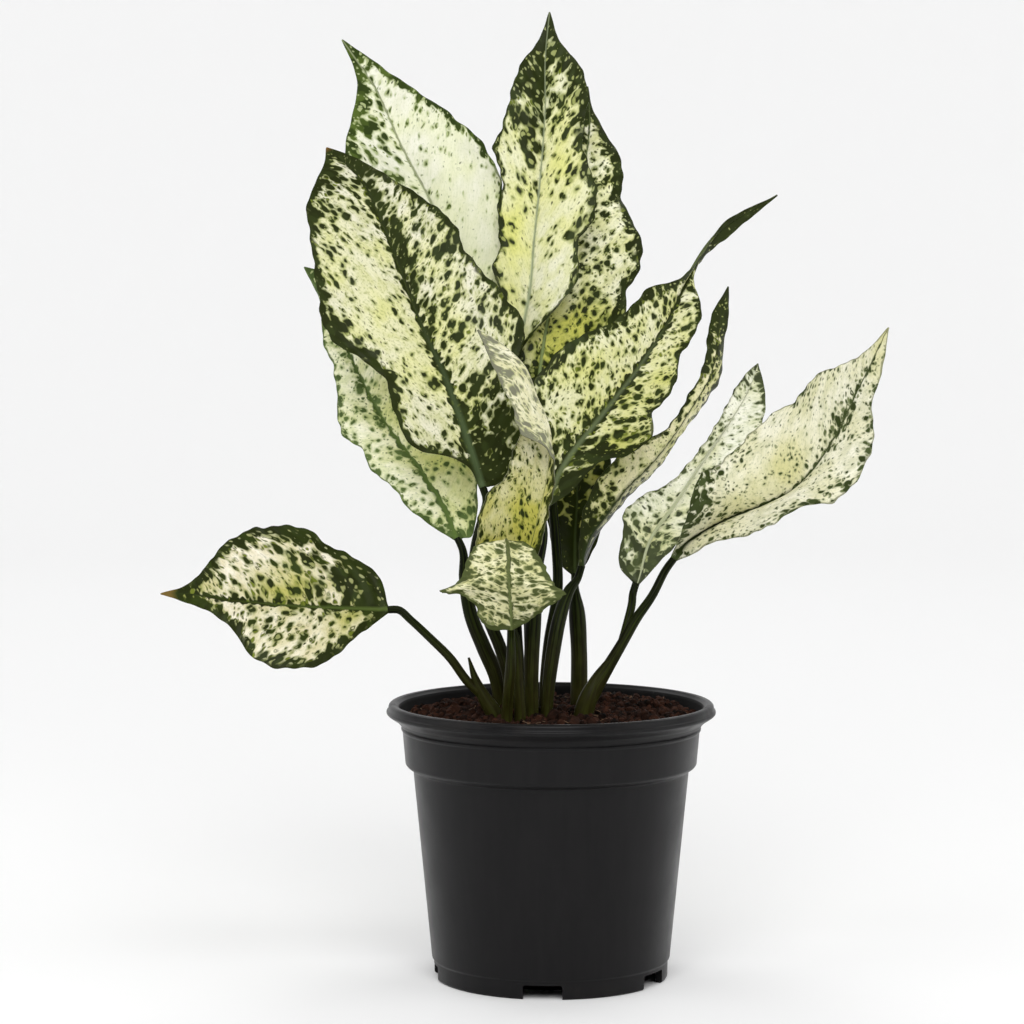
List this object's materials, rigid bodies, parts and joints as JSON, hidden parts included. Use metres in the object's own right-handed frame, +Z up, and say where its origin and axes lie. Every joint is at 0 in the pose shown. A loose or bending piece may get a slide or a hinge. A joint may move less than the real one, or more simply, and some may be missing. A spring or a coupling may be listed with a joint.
{
  "type": "potted chinese evergreen",
  "caption": "Leafy house plant with cream and green mottled, wavy pointed leaves on slim green stalks, standing in a round black nursery pot of soil.",
  "frame": {"origin": "centre of the pot's underside, on the floor", "axes": "+Z up along the pot's axis, -Y towards the side the plant is looked at from, +X to the right of that view"},
  "size_m": [0.321, 0.17, 0.4481],
  "materials": {
    "pot_plastic": "satin black moulded plastic",
    "soil": "rough crumbly coir and peat",
    "stalk": "smooth living stalk with a soft sheen",
    "leaf": "soft waxy sheen, cream and yellow-green mottled with dark green"
  },
  "bodies": {
    "root": {"pot": "pot_plastic", "soil": "soil", "blade_low_left": "leaf", "blade_big": "leaf", "blade_low_behind": "leaf", "blade_high_left": "leaf", "blade_top": "leaf", "blade_behind_top": "leaf", "blade_right": "leaf", "blade_slender": "leaf", "blade_dark": "leaf", "blade_far_right": "leaf", "blade_pale_right": "leaf", "blade_small_front": "leaf", "blade_folded": "leaf", "stalk_low_left": "stalk", "stalk_big": "stalk", "stalk_low_behind": "stalk", "stalk_high_left": "stalk", "stalk_top": "stalk", "stalk_behind_top": "stalk", "stalk_right": "stalk", "stalk_slender": "stalk", "stalk_dark": "stalk", "stalk_far_right": "stalk", "stalk_small_front": "stalk", "stalk_folded": "stalk"}
  },
  "joints": []
}
